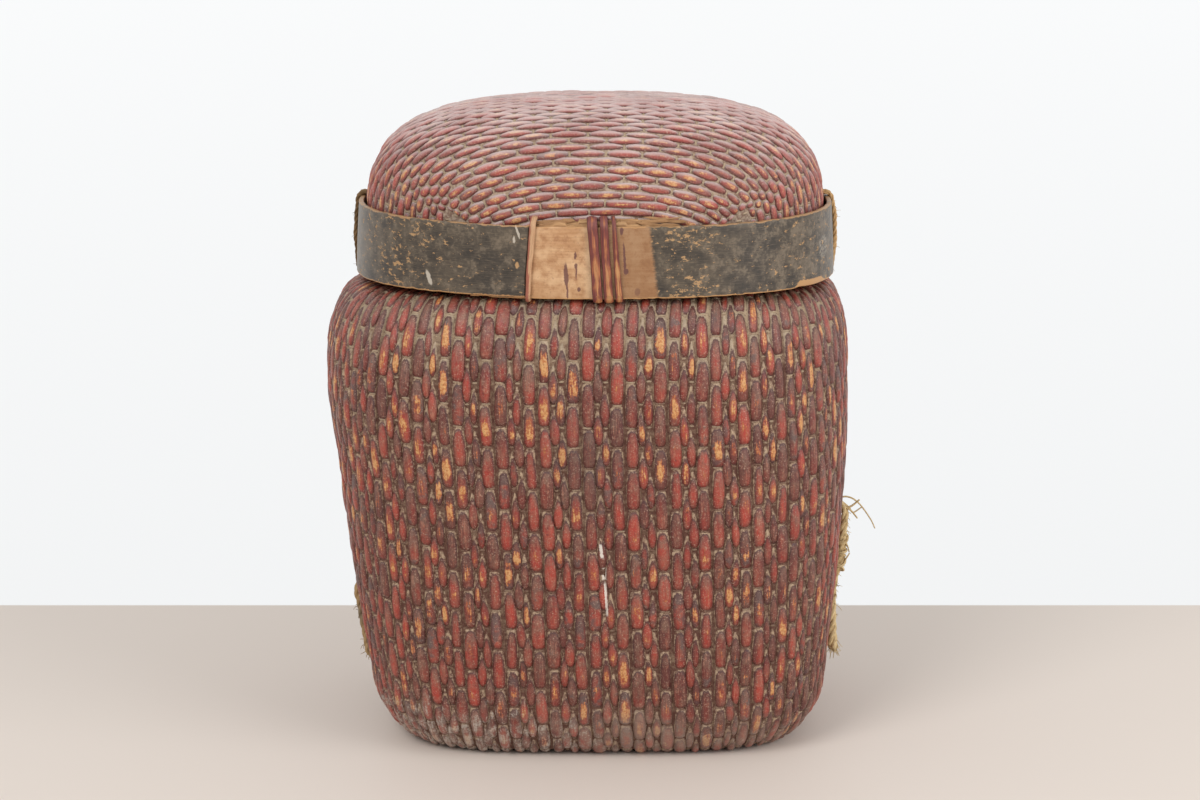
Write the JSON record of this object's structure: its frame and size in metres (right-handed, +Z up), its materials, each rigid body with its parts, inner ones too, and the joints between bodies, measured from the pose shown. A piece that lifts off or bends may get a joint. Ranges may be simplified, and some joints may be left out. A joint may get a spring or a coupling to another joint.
{
  "type": "lidded willow storage basket",
  "caption": "Deep woven willow storage basket with a bound rim and a lift-off domed woven lid, its edge clamped in a bentwood hoop.",
  "frame": {"origin": "middle of the base's flat, on the surface that the basket stands on", "axes": "+Z up, -Y is the front, where the lid's hoop overlaps and is bound, +X to the right of someone who faces the front"},
  "size_m": [0.3826, 0.3, 0.467],
  "materials": {
    "lacquered_willow": "old dark red lacquer over willow rods, worn to the wood on the crowns and dusty in the hollows",
    "painted_bentwood": "dark grey-brown paint, chipped along its edges",
    "bare_wood": "bare aged bentwood, matt",
    "split_willow": "split willow with worn red lacquer",
    "hemp": "aged hemp rope, fibrous and matt"
  },
  "bodies": {
    "basket": {"body_weave": "lacquered_willow", "rim_outer_strip": "bare_wood", "rim_inner_strip": "bare_wood", "rim_cap_rod": "bare_wood", "rim_splint_1": "split_willow", "rim_splint_2": "split_willow", "rim_splint_3": "split_willow", "rim_splint_4": "split_willow", "rim_splint_5": "split_willow", "rim_splint_6": "split_willow", "rim_splint_7": "split_willow", "rim_splint_8": "split_willow", "carry_rope_left": "hemp", "carry_rope_right": "hemp"},
    "lid": {"lid_weave": "lacquered_willow", "lid_outer_hoop": "painted_bentwood", "lid_inner_hoop": "bare_wood", "lid_packing_front": "bare_wood", "lid_packing_back": "bare_wood", "overlap_binding": "split_willow", "front_binding_left": "split_willow", "front_binding_middle": "split_willow", "front_binding_right": "split_willow", "back_binding_left": "split_willow", "back_binding_right": "split_willow", "lid_lashing_left": "hemp", "lid_lashing_right": "hemp"}
  },
  "joints": [
    {"name": "lid_lift", "type": "slide", "parent": "basket", "child": "lid", "axis": [0, 0, 1], "range_m": [0, 0.12]}
  ]
}
